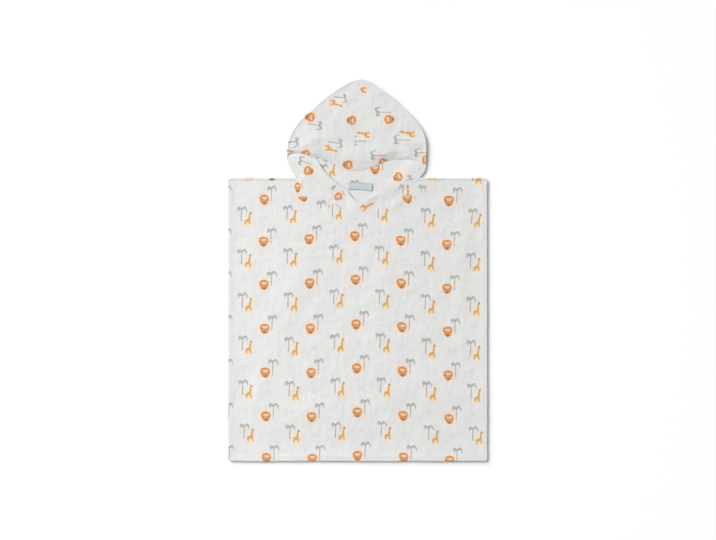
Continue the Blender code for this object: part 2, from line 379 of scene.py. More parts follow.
# The print repeats every 109.7 mm across and 104.9 mm up. Places are from a point in a lion's
# face, and BARE is a spot of plain cloth.
REPEAT = (109.7, 104.9)
LION = (-1.1, -0.6)
GIRAFFE = (-39.1, 51.8)
LION_PALM = (17.2, 27.0)
GIRAFFE_PALM = (GIRAFFE[0] - 14.4, GIRAFFE[1] + 29.4)
MARKS = ((4.8, -46.3), (-50.9, 12.0))
BARE = (26.0, -26.0)


def draw_leaf_marks(faint, colour):
    """Faint leaf marks between the motifs."""
    leaf = faint.union(
        faint.oval(0, 2.0, 5.2, 1.7, 62),
        faint.oval(-3.4, -1.0, 4.6, 1.5, 128),
        faint.oval(3.6, -1.6, 4.4, 1.5, 20),
    )
    return faint.bath.layer(colour, faint.mask(leaf, 2.0) * 0.34, dye(208, 209, 206))


def draw_palms(palm, colour, wash):
    """Palms: a slim brown trunk under a crown of drooping leaves."""
    bath = palm.bath
    across, upward = [bath.part(palm.place, axis) for axis in (0, 1)]
    trunk = palm.stroke(0.3, -2, -0.9, -31.6, 1.1, 1.4)
    ring = bath.maths("SINE", upward * 2.6) * 0.35 + 0.5
    bark = bath.layer(dye(170, 148, 128), ring, dye(190, 170, 152))
    colour = bath.layer(colour, palm.mask(trunk) * 0.84, bark)
    leaves = palm.union(
        palm.stroke(-0.4, -2.6, -5.2, 1.2, 2.2, 2.6),
        palm.stroke(-5.2, 1.2, -8.2, -0.4, 2.6, 2.4),
        palm.stroke(-8.2, -0.4, -8.0, -7.4, 2.4, 1.0),
        palm.stroke(-4.2, -0.6, -5.2, -5.2, 2.0, 0.9),
        palm.stroke(0.4, -2.4, 4.6, 1.8, 2.0, 2.3),
        palm.stroke(4.6, 1.8, 7.8, 2.2, 2.3, 2.2),
        palm.stroke(7.8, 2.2, 10.6, -2.2, 2.2, 1.8),
        palm.stroke(10.6, -2.2, 11.8, -9.2, 1.8, 0.8),
        palm.stroke(4.6, 0.6, 5.6, -3.4, 1.4, 0.6),
    )
    toothed = leaves + 0.3 * bath.maths("SINE", across * 4.2)
    green = bath.layer(dye(164, 167, 164), wash, dye(188, 190, 187))
    colour = bath.layer(colour, palm.mask(toothed) * 0.94, green)
    nuts = palm.union(palm.oval(-1.1, -3.1, 1.2, 1.2), palm.oval(1.5, -2.9, 1.2, 1.2))
    return bath.layer(colour, palm.mask(nuts), dye(176, 152, 134))


def draw_giraffes(tall, colour, wash):
    """Giraffes in a warm wash, standing, with the head up to the right."""
    bath = tall.bath
    halo = tall.union(tall.oval(0, -4.4, 6.0, 7.4), tall.stroke(3.2, 2, 5.6, 15.8, 2.6, 1.8))
    colour = bath.layer(colour, tall.mask(halo + 3.0, 8.5), dye(252, 222, 184))
    body = tall.union(
        tall.oval(0.2, -0.9, 6.1, 3.4, 14),
        tall.stroke(3.4, 1.2, 5.5, 15.6, 2.3, 1.4),
        tall.oval(6.6, 17.2, 3.3, 2.1, -24),
        tall.stroke(-4.6, -1.8, -5.9, -10.4, 1.7, 1.2),
        tall.stroke(-3.2, -2.4, -3.6, -10.0, 1.2, 0.8),
        tall.stroke(3.4, -2.2, 3.8, -10.0, 1.2, 0.8),
        tall.stroke(5.0, -1.0, 6.4, -10.4, 1.6, 1.1),
    )
    gold = bath.layer(dye(216, 168, 108), wash, dye(230, 188, 134))
    colour = bath.layer(colour, tall.mask(body), gold)
    spots = tall.union(
        tall.oval(-3.8, -1.4, 1.5, 1.2),
        tall.oval(-0.9, 0.2, 1.4, 1.1),
        tall.oval(1.6, -2.0, 1.3, 1.0),
        tall.oval(3.6, 1.8, 1.1, 1.3),
        tall.oval(4.2, 5.6, 1.0, 1.3),
        tall.oval(4.8, 9.4, 0.9, 1.2),
    )
    colour = bath.layer(colour, tall.mask(spots) * 0.8, dye(190, 140, 84))
    crest = tall.union(
        tall.stroke(1.8, 3.4, 4.0, 15.8, 0.7, 0.6),
        tall.stroke(-5.8, -0.4, -7.4, -6.0, 0.35, 0.7),
        tall.stroke(5.4, 17.8, 4.6, 21.2, 0.9, 0.7),
        tall.stroke(7.0, 18.2, 7.4, 21.4, 0.8, 0.6),
        tall.oval(5.8, 17.4, 3.0, 1.8, 0),
    )
    colour = bath.layer(colour, tall.mask(crest) * 0.9, dye(184, 160, 136))
    eye = tall.oval(7.2, 17.8, 0.6, 0.6)
    return bath.layer(colour, tall.mask(eye, 0.25), dye(110, 84, 64))


def draw_lions(face, colour, wash):
    """Lion faces in a warm wash: a full dark mane, a light brow, and a tuft of beard."""
    bath = face.bath
    aside, above = [bath.part(face.place, axis) for axis in (0, 1)]
    angle = bath.maths("ARCTAN2", above, aside)
    mane = face.union(face.oval(0, 1.5, 11.4, 9.7), face.oval(0.2, -4.8, 8.8, 8.2))
    colour = bath.layer(colour, face.mask(mane + 3.2, 8.5), dye(254, 218, 190))
    locks = mane + 0.5 * bath.maths("COSINE", angle * 15.0)
    strands = bath.maths("COSINE", angle * 30.0) * 0.5 + 0.5
    rust = bath.layer(dye(196, 137, 88), strands * 0.6 + wash * 0.4, dye(217, 160, 112))
    colour = bath.layer(colour, face.mask(locks), rust)
    middle = face.union(
        face.oval(-8.2, 8.0, 1.4, 1.3),
        face.oval(8.4, 8.0, 1.4, 1.3),
        face.oval(0.4, -2.2, 3.4, 4.8),
        face.oval(-1.5, -4.8, 2.3, 2.0),
        face.oval(2.3, -4.8, 2.3, 2.0),
    )
    colour = bath.layer(colour, face.mask(middle, 0.8), dye(230, 164, 114))
    brow = face.union(
        face.oval(-2.6, 3.0, 3.9, 2.7, -8),
        face.oval(3.6, 3.0, 3.9, 2.7, 8),
        face.oval(0.5, 1.6, 2.2, 3.6),
    )
    peach = bath.layer(dye(253, 202, 152), wash, dye(255, 216, 174))
    colour = bath.layer(colour, face.mask(brow, 0.8), peach)
    dark = face.union(
        face.oval(0.2, -9.9, 3.9, 3.3),
        face.oval(0.4, -1.9, 1.7, 1.1),
        face.oval(-2.6, 2.6, 0.7, 0.8),
        face.oval(3.5, 2.6, 0.7, 0.8),
        face.stroke(0.4, -2.8, 0.4, -4.6, 0.35, 0.35),
        face.stroke(0.4, -4.6, -1.9, -5.6, 0.4, 0.3),
        face.stroke(0.4, -4.6, 2.8, -5.6, 0.4, 0.3),
    )
    return bath.layer(colour, face.mask(dark) * 0.95, dye(168, 126, 96))


def printed_muslin():
    bath = Bath("printed_muslin", Sheen_Weight=0.08, Sheen_Roughness=0.6, Specular_IOR_Level=0.2)
    uv = bath.node("UVMap", {"uv_map": "print"}, {})
    spot = bath.node("VectorMath", {"operation": "SCALE"}, {0: uv, "Scale": 1000.0})
    half = (REPEAT[0] / 2, REPEAT[1] / 2, 1)
    low = (-half[0], -half[1], -1)

    def near(centre):
        return bath.vector("WRAP", bath.vector("SUBTRACT", spot, (*centre, 0)), half, low)

    def nearer(first, second):
        a, b = near(first), near(second)
        lengths = [bath.vector("LENGTH", place, output=1) for place in (a, b)]
        further = bath.maths("GREATER_THAN", *lengths)
        return bath.node("Mix", {"data_type": "VECTOR"}, {0: further, 4: a, 5: b}, 1)

    # The cloth itself: near white, a little uneven
    wash, cloud = bath.mottle(210.0), bath.mottle(24.0)
    ground = bath.layer(dye(226, 226, 225), cloud, dye(234, 234, 233))
    slub = bath.clamp((bath.mottle(900.0) - 0.35) * 1.6)
    colour = bath.layer(ground, slub * 0.08, dye(204, 204, 202))

    # The print
    colour = draw_leaf_marks(Drawing(bath, nearer(*MARKS)), colour)
    colour = draw_palms(Drawing(bath, nearer(LION_PALM, GIRAFFE_PALM)), colour, wash)
    colour = draw_giraffes(Drawing(bath, near(GIRAFFE)), colour, wash)
    colour = draw_lions(Drawing(bath, near(LION)), colour, wash)

    # The surface: plain weave, and the crinkle that soft muslin keeps after washing
    drawn = bath.vector("MULTIPLY", bath.here, (1.0, 0.35, 1.0))
    wrinkle = bath.mottle(190.0, 3.0, drawn)
    height = bath.weave(5700.0, 5700.0) * 0.08 + wrinkle * 0.8 + bath.mottle(70.0) * 1.0
    return bath.finish(colour, 0.84 + cloud * 0.12, Strength=0.55, Distance=0.0006, Height=height)


MUSLIN_CLOTH = printed_muslin()


def turned(x, y, turn, stretch=1.0):
    """A place on the cloth, turned back from the way that its print lies, and unstretched."""
    angle = math.radians(turn)
    return (
        (x * math.cos(angle) + y * math.sin(angle)) / stretch,
        (y * math.cos(angle) - x * math.sin(angle)) / stretch,
    )


# The back lies a little inside the front's edges. It is bare along its rim, and in the neck
# round the label.
BACK_INSET = 0.7 * MM
BACK_BARE_RIM = 4 * MM
NECK_BARE_Y, NECK_BARE_REACH = 0.19, 0.05


def back_top(x):
    if NECK_LEFT <= x <= NECK_RIGHT:
        return back_neck(x)
    return SHOULDER_Y - BACK_INSET - corner_cut(x)


def make_back():
    columns = side_stops(8 * MM)
    plain = evenly(HEM_Y + HEM_STOPS[-1], SHOULDER_Y - 0.06, 8 * MM)
    tail = [d * MM for d in (52, 45, 38, 32, 26, 21, 16, 12, 9, 6.5, 4.5, 2.8, 1.4, 0.6, 0)]
    rows, stop = panel_grid(columns, plain, tail, back_top)

    def level(i, j):
        x, y = stop(i, j)
        hem, neck = min(HALF_WIDTH - abs(x), y - HEM_Y), back_top(x) - y
        thick = MUSLIN + hem_extra(hem)
        edge = min(rim(hem, thick), rim(neck, thick, 0.96))
        x, y = astray(x, y, 3.3, BACK_INSET)
        return x, y, thick, edge

    def over(i, j):
        x, y, thick, edge = level(i, j)
        inward = min(HALF_WIDTH - abs(x), y - HEM_Y, back_top(x) - y)
        rough = 0.5 * crinkle(x + 3, y) * smooth(inward / 0.02)
        return Vector((x, y, thick * (0.5 + edge / 2) + rough))

    def under(i, j):
        x, y, thick, edge = level(i, j)
        return Vector((x, y, thick * (0.5 - edge / 2)))

    def printed(centre, upper, cells, corners):
        inward = min(HALF_WIDTH - abs(centre.x), centre.y - HEM_Y)
        from_label = math.hypot(centre.x, centre.y - NECK_BARE_Y)
        if inward < BACK_BARE_RIM or (upper and from_label < NECK_BARE_REACH):
            return [BARE] * len(corners)
        if upper:
            return [turned(c.x / MM + 9.6, c.y / MM - 192, 184) for c in corners]
        return [(-c.x / MM, c.y / MM) for c in corners]

    return shell("back_panel", len(columns), rows, over, under, printed)


back_panel = make_back()
back_panel.data.materials.append(MUSLIN_CLOTH)
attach(back_panel, "root")
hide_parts("back")

# ---- Front panel -----------------------------------------------------------------------------
# The same width and length in one layer of the same muslin, with a deep front neck that ends in
# a rounded slit. It lies on the back with its hems turned under, flat but for a few soft folds
# that start at the neck seam and one or two along the hems.

# Soft folds of the front, in millimetres, from the middle of the shoulder line
Ridge = namedtuple("Ridge", "x up half_length half_width turn_deg height")
FRONT_RIDGES = [
    Ridge(-128, -14, 15, 3.0, -62, 0.5),
    Ridge(-119, -17, 18, 3.2, -56, 0.6),
    Ridge(-109, -20, 16, 2.8, -50, 0.5),
    Ridge(-98, -23, 20, 3.4, -48, 0.6),
    Ridge(-84, -30, 18, 3.4, -42, 0.5),
    Ridge(-66, -38, 22, 4.0, -52, 0.5),
    Ridge(-96, -40, 40, 9, -28, 0.9),
    Ridge(-52, -58, 40, 9, -40, 0.8),
    Ridge(66, -48, 22, 4.5, 52, 0.3),
    Ridge(84, -40, 24, 4.0, 60, 0.3),
    Ridge(104, -50, 40, 9, 42, 0.6),
    Ridge(152, -26, 20, 6, -70, 0.6),
    Ridge(-150, -250, 120, 34, 78, 0.7),
    Ridge(60, -330, 150, 40, 96, 0.8),
    Ridge(255, -210, 110, 24, 88, 0.9),
    Ridge(-60, -560, 160, 36, 6, 0.8),
    Ridge(230, -520, 90, 30, -35, 1.1),
    Ridge(-240, -520, 80, 26, 70, 0.8),
]

# Where the print lies on the front, in millimetres: the rows of lions down the left, and how much
# higher each column stands than the first, down the panel
LION_ROWS = [171.6, 69.3, -34.4, -140.2, -245.1, -350.2, -449.3, -554]
LION_COLUMNS = [-223.4, -114.7, -4.8, 104.4, 214.8]
Drift = namedtuple("Drift", "y first second third fourth fifth")
PRINT_DRIFT = [
    Drift(171.6, 0, 5.5, 13, 2.2, -7.2),
    Drift(69.3, 0, 5.5, 13, 2.2, -7.2),
    Drift(-140.2, 0, 0.5, 10.8, 4.3, -5.3),
    Drift(-350.2, 0, -2.2, 9.6, 1.4, -6.5),
    Drift(-460, 0, -2.2, 9.6, 1.4, -6.5),
]

# The line of the middle column passes PRINT_SHIFT left of the body's middle at the second row.
# The columns wander a little to the right on their way down, and the left hem draws the print
# in. Outside PRINT_FROM to PRINT_TO, in metres across, the front is plain.
PRINT_SHIFT, PRINT_LEAN = 5.2, 0.0143
DRAWN_IN, DRAWN_FROM, DRAWN_OVER = 2.6, -292, 12
PRINT_FROM, PRINT_TO = -309.8 * MM, 302 * MM

# Places where the cloth was pulled, and its print with it
Pull = namedtuple("Pull", "x y reach right higher")
FRONT_PULLS = [
    Pull(255, 190, 85, 9.5, 2.5),
    Pull(-225, 168, 60, 3.6, -2.2),
    Pull(-266, 222, 34, 6.5, 8.4),
    Pull(186, 222, 34, 2, 9.6),
    Pull(176, 115, 45, 0.8, -3.0),
    Pull(176, 10, 45, 0, -3),
    Pull(177, -95, 45, 0, -3.6),
    Pull(178, -200, 45, 0, -4.2),
    Pull(286, 10, 45, 0, -3),
    Pull(286, -98, 45, -2, -5.6),
    Pull(286, -204, 45, -3.3, -5.6),
    Pull(287, -306, 40, -3.4, -2),
    Pull(-262, -189, 40, -1.4, 3.8),
    Pull(-262, -296, 40, -2.6, 2.2),
    Pull(187, -403, 38, 5, 0),
    Pull(-38, -398, 34, 0, -4.6),
    Pull(-2, -447, 30, -1.4, -5),
    Pull(214, -42, 34, 0, -2.4),
]

# Where the shoulder's edge is pinched: x, reach and depth
Pinch = namedtuple("Pinch", "x reach depth")
SHOULDER_PINCHES = [
    Pinch(-263, 14, 0.5),
    Pinch(-205, 8, 1.0),
    Pinch(184, 16, 0.6),
    Pinch(282, 10, 0.5),
]

# Near the neck the cloth is gathered, and motifs stand off their rows. Each patch is an oval of
# the cloth that shows its own spot of the print, in millimetres from the lion's face, or where
# wide is 0 none of it.
Patch = namedtuple("Patch", "x up reach_x reach_y print_x print_y turn_deg wide")
FRONT_PATCHES = [
    Patch(-205, -4.5, 8.5, 3.4, 0, -11, 0, 1),
    Patch(-142.6, -22, 24, 21, 0, 0, 0, 0.66),
    Patch(-133.5, -54, 18, 10.5, -7.4, -7.6, 25, 1),
    Patch(-57.6, -24.5, 7, 7, GIRAFFE_PALM[0] - 5, GIRAFFE_PALM[1] - 2, 40, 1),
    Patch(-81, -62.5, 20, 11, GIRAFFE_PALM[0] + 7, GIRAFFE_PALM[1] - 4, 0, 1),
    Patch(-40, -58.5, 12, 5, *BARE, 0, 0),
    Patch(-45, -46, 16, 18, 0, 0, 25, 0.80),
    Patch(17.8, -69.4, 24, 22, *GIRAFFE, -50, 0.92),
    Patch(-35, -73, 6, 9, *BARE, 0, 0),
    Patch(-17, -42, 9, 12, *BARE, 0, 0),
    Patch(125, -52, 19, 11, 3, -4.5, 12, 1),
    Patch(120, -29, 6, 12.5, GIRAFFE[0] + 3.6, GIRAFFE[1] + 10, 15, 1),
    Patch(107, -33, 7, 20, LION_PALM[0] - 2, LION_PALM[1] - 14, 4, 1),
    Patch(152.5, -22, 13, 15, GIRAFFE_PALM[0] - 2.6, GIRAFFE_PALM[1] - 1.6, -16, 0.8),
    Patch(-112, -40, 48, 30, *BARE, 0, 0),
    Patch(-160, -4, 22, 12, *BARE, 0, 0),
    Patch(-66, -40, 40, 26, *BARE, 0, 0),
    Patch(52, -50, 40, 22, *BARE, 0, 0),
    Patch(118, -44, 52, 34, *BARE, 0, 0),
]

# How high the front lies on the back, how much it rises along the neck and towards its hems, and
# the slit with its narrow hem
FRONT_REST = 2.3 * MM
NECK_LIFT, HEM_LIFT = 1.5 * MM, 1.1 * MM
SLIT_LEFT, SLIT_RIGHT = -31 * MM, 49 * MM
SLIT_HEM = 6 * MM


def front_neck(x):
    return SHOULDER_Y + curve(FRONT_NECK, [n.x for n in FRONT_NECK], x / MM)[1] * MM


def ridge_height(ridges, x, y):
    total = 0.0
    for ridge in ridges:
        turn = math.radians(ridge.turn_deg)
        dx, dy = x - ridge.x * MM, y - SHOULDER_Y - ridge.up * MM
        along = (dx * math.cos(turn) + dy * math.sin(turn)) / (ridge.half_length * MM)
        across = (dy * math.cos(turn) - dx * math.sin(turn)) / (ridge.half_width * MM)
        total += ridge.height * MM * math.exp(-along * along - across * across)
    return total


def front_top(x):
    return front_neck(x) if NECK_LEFT <= x <= NECK_RIGHT else SHOULDER_Y - corner_cut(x)


def front_level(x, y):
    """The height of the upper side, the thickness and the rim at a place of the front."""
    side, hem, neck = HALF_WIDTH - abs(x), y - HEM_Y, front_top(x) - y
    border = min(side, hem)
    inside = smooth(min(x - NECK_LEFT, NECK_RIGHT - x) / 0.020)
    slit = smooth((x - SLIT_LEFT) / 0.008) * smooth((SLIT_RIGHT - x) / 0.008)
    thick = MUSLIN + max(hem_extra(border), slit * hem_extra(neck, SLIT_HEM))
    plain = smooth(border / 0.025) * (1 - 0.5 * inside * bell(neck, 0.006))
    top = FRONT_REST + MUSLIN + NECK_LIFT * inside * bell(neck, 0.018)
    top += (ridge_height(FRONT_RIDGES, x, y) + crinkle(x, y)) * (0.25 + 0.75 * plain)
    top += hem_relief(border, x + y) + slit * hem_relief(neck, x, SLIT_HEM)
    top += HEM_LIFT * bell(border, 0.024)
    pinch = 0.55 + sum(p.depth * bell(x / MM - p.x, p.reach) for p in SHOULDER_PINCHES)
    top += (1 - inside) * pinch * MM * (1 - smooth((neck - 4.2 * MM) / (3 * MM)))
    edge = min(rim(border, thick), rim(neck, thick, lerp(0.14, 0.92, inside)))
    return top, thick, edge


def front_place(x, y, side):
    """A place on the front's upper (1) or lower (-1) face, as it lies."""
    top, thick, edge = front_level(x, y)
    x, y = astray(x, y, 8.6)
    return Vector((x, y, top - thick * (1 - side * edge) / 2))


def lattice(x, y):
    """The spot of the print at a place of the front, both in millimetres."""
    x -= DRAWN_IN * smooth((DRAWN_FROM - x) / DRAWN_OVER)
    for pull in FRONT_PULLS:
        share = bell(math.hypot(x - pull.x, y - pull.y), pull.reach)
        x, y = x - pull.right * share, y - pull.higher * share
    drift = curve(PRINT_DRIFT, [-row.y for row in PRINT_DRIFT], -y)[1:]
    column = min(max(x, LION_COLUMNS[0]), LION_COLUMNS[-1])
    height = y - curve([(d,) for d in drift], LION_COLUMNS, column)[0]
    k = 0
    while k < len(LION_ROWS) - 2 and height < LION_ROWS[k + 1]:
        k += 1
    share = (LION_ROWS[k] - height) / (LION_ROWS[k] - LION_ROWS[k + 1])
    lean = PRINT_LEAN * (LION_ROWS[1] - y)
    return x + PRINT_SHIFT - lean, -REPEAT[1] * (k + share)


def patched(patches, centre):
    """The first patch that a face lies in, if any."""
    for patch in patches:
        dx, dy = centre.x / MM - patch.x, (centre.y - SHOULDER_Y) / MM - patch.up
        if (dx / patch.reach_x) ** 2 + (dy / patch.reach_y) ** 2 < 1:
            return patch
    return None


def patch_print(patch, point):
    if not patch.wide:
        return patch.print_x, patch.print_y
    dx, dy = point.x / MM - patch.x, (point.y - SHOULDER_Y) / MM - patch.up
    u, v = turned(dx / patch.wide, dy, patch.turn_deg)
    return u + patch.print_x, v + patch.print_y


def make_front():
    inner = [x for x in side_stops(3.5 * MM) if not NECK_LEFT - 0.002 < x < NECK_RIGHT + 0.002]
    columns = sorted(inner + evenly(NECK_LEFT, NECK_RIGHT, 3 * MM))
    plain = evenly(HEM_Y + HEM_STOPS[-1], SHOULDER_Y - 0.066, 3.5 * MM)
    tail = evenly(62 * MM, 15 * MM, 3.4 * MM)
    tail += [d * MM for d in (12.4, 10.4, 8.8, 7.6, 6.6, 5.6, 4.6, 3.6, 2.6, 1.7, 0.9, 0.4, 0)]
    rows, stop = panel_grid(columns, plain, tail, front_top)

    def over(i, j):
        return front_place(*stop(i, j), 1)

    def under(i, j):
        return front_place(*stop(i, j), -1)

    def printed(centre, upper, cells, corners):
        if not PRINT_FROM < centre.x < PRINT_TO:
            return [BARE] * len(corners)
        patch = patched(FRONT_PATCHES, centre)
        if patch:
            return [patch_print(patch, c) for c in corners]
        return [lattice(c.x / MM, c.y / MM) for c in corners]

    return shell("front_panel", len(columns), rows, over, under, printed)


front_panel = make_front()
front_panel.data.materials.append(MUSLIN_CLOTH)
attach(front_panel, "root")
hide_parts("front")

# ---- Hood ------------------------------------------------------------------------------------
# Two mirrored pieces of the same muslin, sewn together along the middle and to the body round
# the neck. Each lies on the table as the hood's back, folds over at the outline and comes back
# on top as the crown and, lower down, as the wing, whose hem tucks under the crown's.

# Sections of the halves, in millimetres: places on the outline, on the face hem and along the
# back neck, and how high the cloth folds over. The first is at the centre seam, the last at the
# neck.
Section = namedtuple("Section", "edge_x edge_up hem_x hem_up neck_x fold")
LEFT_CROWN = [
    Section(8.4, 238, -13.2, 17.3, 5, 6.1),
    Section(-10.8, 234, -25, 18.8, 1, 6.1),
    Section(-30, 224.5, -37, 21.8, -4, 6.1),
    Section(-61, 205.5, -52, 30, -12, 6.1),
    Section(-85, 186.7, -66, 38.8, -19, 6.1),
    Section(-107, 167.5, -81, 44.2, -26, 6.1),
    Section(-128.3, 148.3, -97, 48, -32, 6.1),
    Section(-146.5, 129, -114, 52.3, -38, 6.1),
    Section(-159.2, 110, -129, 57, -43, 6.1),
    Section(-166.4, 90.7, -142.5, 59.5, -48, 6.0),
    Section(-170.4, 71.5, -155.5, 58.9, -52, 5.8),
    Section(-171.6, 56, -166.5, 55.5, -56, 5.4),
]
LEFT_WING = [
    Section(-171.6, 56, -166.5, 55.5, -56, 5.4),
    Section(-171.2, 49, -163.5, 55, -58, 4.4),
    Section(-169.6, 41, -157, 59.5, -60, 3.6),
    Section(-166.3, 31, -143, 64, -63, 3.5),
    Section(-162, 21.5, -120, 62, -66, 3.5),
    Section(-157, 13.5, -99, 45, -69, 3.5),
    Section(-151.5, 6.8, -79, 14, -72, 3.9),
    Section(-148.3, 3.6, -52, -13, -74, 4.4),
    Section(-145, 0.8, -25, -30.5, -76, 5.0),
]
RIGHT_CROWN = [
    Section(8.4, 238, -13.2, 17.3, 5, 6.1),
    Section(25, 233, 0, 17.8, 9, 6.1),
    Section(40, 225, 14, 19.7, 14, 6.1),
    Section(65, 207.5, 34, 25.4, 22, 6.1),
    Section(88.5, 188.5, 52, 31.6, 29, 6.1),
    Section(112, 167, 67, 39.3, 36, 6.1),
    Section(132.5, 147, 83, 43.7, 42, 6.1),
    Section(147.5, 129, 100, 45.4, 48, 6.1),
    Section(159, 110, 116, 45, 53, 6.1),
    Section(165.7, 90.7, 129, 42.5, 58, 6.1),
    Section(167, 71.5, 141, 38.2, 62, 6.0),
    Section(166.2, 51, 151, 33.2, 66, 5.8),
    Section(165.8, 34.5, 161, 31.5, 70, 5.4),
]
RIGHT_WING = [
    Section(165.8, 34.5, 161, 31.5, 70, 5.4),
    Section(165.7, 28.5, 158.2, 33, 71, 4.4),
    Section(164.8, 21.5, 151, 37, 72, 3.6),
    Section(161.4, 13.2, 140, 45, 73, 3.5),
    Section(157.8, 8.6, 121, 50, 74, 3.5),
    Section(155, 5.4, 104, 36, 75.5, 3.5),
    Section(152, 2.6, 86, 4, 77, 3.9),
    Section(149.7, 0.6, 64, -17.5, 78.5, 4.4),
    Section(147.5, -2.4, 41, -42, 80, 5.0),
]

# Troughs and puffs of the crown, as on the front
CROWN_RIDGES = [
    Ridge(-62, 118, 95, 52, 40, 1.2),
    Ridge(78, 112, 90, 50, -42, 1.4),
    Ridge(-112, 86, 46, 12, 22, 0.9),
    Ridge(128, 84, 44, 11, -10, 1.0),
    Ridge(10, 62, 60, 16, 6, 0.8),
    Ridge(-30, 176, 50, 9, 62, 0.5),
    Ridge(62, 160, 60, 10, -48, 0.6),
]

SEAM_TOP, SEAM_FOOT = Vector((8.4 * MM, 0.459, 0)), Vector((-13.2 * MM, 0.2383, 0))
SEAM_WAY = (SEAM_FOOT - SEAM_TOP).normalized()

# How the print lies on each part of a half: a place, the spot of the print there, and the turn
Lay = namedtuple("Lay", "x up print_x print_y turn_deg stretch")
LEFT_LAYS = {
    "crown": Lay(-14.6, 138.2, 0, 0, -95, 0.96),
    "wing": Lay(-118.3, 17.5, 0, 0, 73, 0.95),
    "inside": Lay(-61, 14.4, *GIRAFFE, 0, 0.95),
}
RIGHT_LAYS = {
    "crown": Lay(73.9, 141.8, 0, 0, 91.5, 0.98),
    "wing": Lay(98.4, 1.0, 0, 0, -62, 0.95),
    "inside": Lay(43.2, 21.8, 0, 0, 0, 1),
}

# Where the crown is plain, and where the hood's inside shows another spot of the print
CROWN_BARE = [
    Patch(-10, 233, 22, 12, *BARE, 0, 0),
    Patch(-8, 222, 17, 16, *BARE, 0, 0),
    Patch(8, 195, 14, 6, *BARE, 0, 0),
    Patch(-14, 121, 18, 4.5, *BARE, 0, 0),
]
INSIDE_PATCHES = [Patch(-81, 26, 11, 14, GIRAFFE_PALM[0], GIRAFFE_PALM[1] - 3, 8, 0.85)]

# How far the print of the crown strays from its lay, at places on it
Nudge = namedtuple("Nudge", "x up right higher")
CROWN_NUDGES = [
    Nudge(-114, 146, 2.0, -3.2),
    Nudge(-56, 180, 6.7, -0.8),
    Nudge(-14.6, 138, 1.6, -2.4),
    Nudge(-69, 71, 3.6, -4.6),
    Nudge(-30, 30, 1.4, -3.6),
    Nudge(-123, 60, 0.0, 13.0),
    Nudge(-147, 90, -2.0, -9.0),
    Nudge(-163, 71, -2.0, -15.0),
    Nudge(13, 212, -10.6, 0.0),
    Nudge(17.5, 105, -5.2, 0.0),
    Nudge(74, 142, 1.0, -1.6),
    Nudge(124, 107, -0.6, -1.4),
    Nudge(100, 90, -8.0, 0.0),
    Nudge(45, 51, -15.0, 2.2),
    Nudge(158, 47, -14.0, 6.5),
]

# The crown's hem rests lower in the middle than at the sides. Behind it the crown steps up, most
# on the right, and goes on nearly flat to the fold, which is a soft roll.
REST_MIDDLE, REST_SIDE = 2.75 * MM, 5.0 * MM
STEP_MIDDLE, STEP_LEFT, STEP_RIGHT = 1.3 * MM, 1.7 * MM, 2.2 * MM
CROWN_SINK = 0.5 * MM
FOLD_ROLL, ROLL_REACH = 0.48 * MM, 3.5 * MM
SEAM_GROOVE, GROOVE_REACH = 0.10 * MM, 1.5 * MM
WING_PUFF = 0.7 * MM
SEAM_GAP = 0.1 * MM

# The hood's hems: their share of the thickness at the edge, how far in they have all of it, and
# how much of a body hem's relief they show
HoodHem = namedtuple("HoodHem", "least taper relief")
CROWN_HEM = HoodHem(0.25, 9 * MM, 1)
WING_HEM = HoodHem(0.66, 14 * MM, 0.12)

# A half's sections along its crown and its wing, and a section's places: behind its hem on top,
# round the fold, and on the back
CROWN_STEPS, WING_STEPS = 92, 52
TOP_ROWS, TURN_ROWS, BACK_ROWS = 46, 9, 26


def neck_level(x):
    """The height of the front's upper side along the neck seam."""
    x = min(max(x, NECK_LEFT), NECK_RIGHT)
    return front_level(x, front_neck(x))[0]


def hood_rough(point):
    return crinkle(point.x, point.y) + ridge_height(CROWN_RIDGES, point.x, point.y)


Ends = namedtuple("Ends", "out hem fold neck height")


